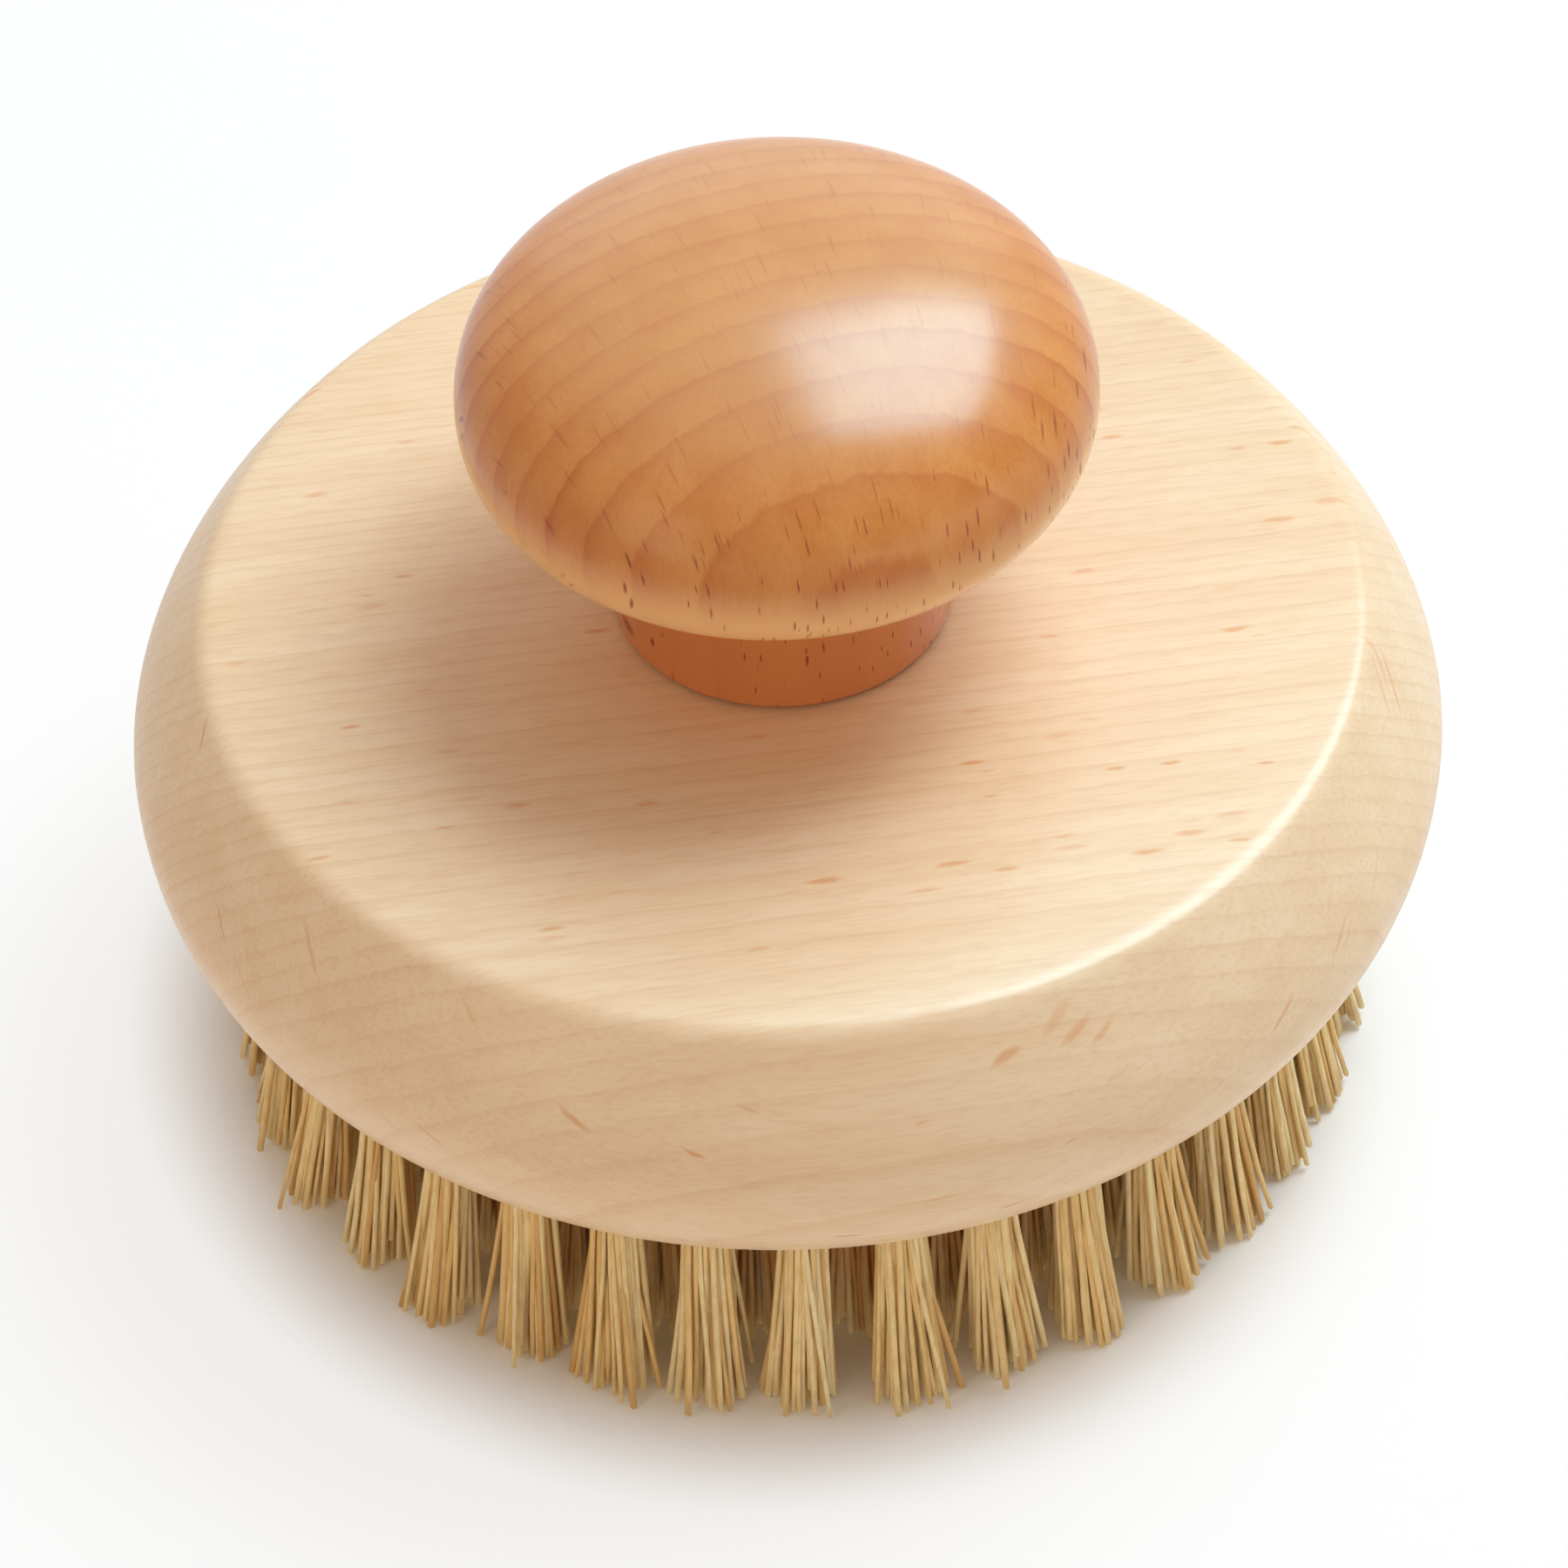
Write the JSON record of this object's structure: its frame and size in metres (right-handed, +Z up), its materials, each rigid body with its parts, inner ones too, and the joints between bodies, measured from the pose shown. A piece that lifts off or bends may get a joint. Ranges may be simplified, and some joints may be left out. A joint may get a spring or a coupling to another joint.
{
  "type": "scrub brush",
  "caption": "Round hand scrub brush with a turned mushroom knob on a rounded wooden block and dense plant fibre tufts cut level.",
  "frame": {"origin": "point under the knob's axis on the surface that the fibre tips stand on", "axes": "+Z up along the axis of block and knob; -Y towards the viewer of the picture, +X to its right"},
  "size_m": [0.09, 0.09, 0.0672],
  "materials": {
    "block_beech": "satin",
    "knob_beech": "gloss lacquer",
    "screw_steel": "zinc plated",
    "plant_fibre": "natural"
  },
  "bodies": {
    "root": {"block": "block_beech", "knob": "knob_beech", "knob_screw": "screw_steel", "outer_tuft_01": "plant_fibre", "outer_tuft_02": "plant_fibre", "outer_tuft_03": "plant_fibre", "outer_tuft_04": "plant_fibre", "outer_tuft_05": "plant_fibre", "outer_tuft_06": "plant_fibre", "outer_tuft_07": "plant_fibre", "outer_tuft_08": "plant_fibre", "outer_tuft_09": "plant_fibre", "outer_tuft_10": "plant_fibre", "outer_tuft_11": "plant_fibre", "outer_tuft_12": "plant_fibre", "outer_tuft_13": "plant_fibre", "outer_tuft_14": "plant_fibre", "outer_tuft_15": "plant_fibre", "outer_tuft_16": "plant_fibre", "outer_tuft_17": "plant_fibre", "outer_tuft_18": "plant_fibre", "outer_tuft_19": "plant_fibre", "outer_tuft_20": "plant_fibre", "outer_tuft_21": "plant_fibre", "outer_tuft_22": "plant_fibre", "outer_tuft_23": "plant_fibre", "outer_tuft_24": "plant_fibre", "outer_tuft_25": "plant_fibre", "outer_tuft_26": "plant_fibre", "outer_tuft_27": "plant_fibre", "outer_tuft_28": "plant_fibre", "outer_tuft_29": "plant_fibre", "outer_tuft_30": "plant_fibre", "outer_tuft_31": "plant_fibre", "outer_tuft_32": "plant_fibre", "outer_tuft_33": "plant_fibre", "outer_tuft_34": "plant_fibre", "outer_tuft_35": "plant_fibre", "outer_tuft_36": "plant_fibre", "tuft_row_2": "plant_fibre", "tuft_row_3": "plant_fibre", "tuft_row_4": "plant_fibre", "tuft_row_5": "plant_fibre"}
  },
  "joints": []
}
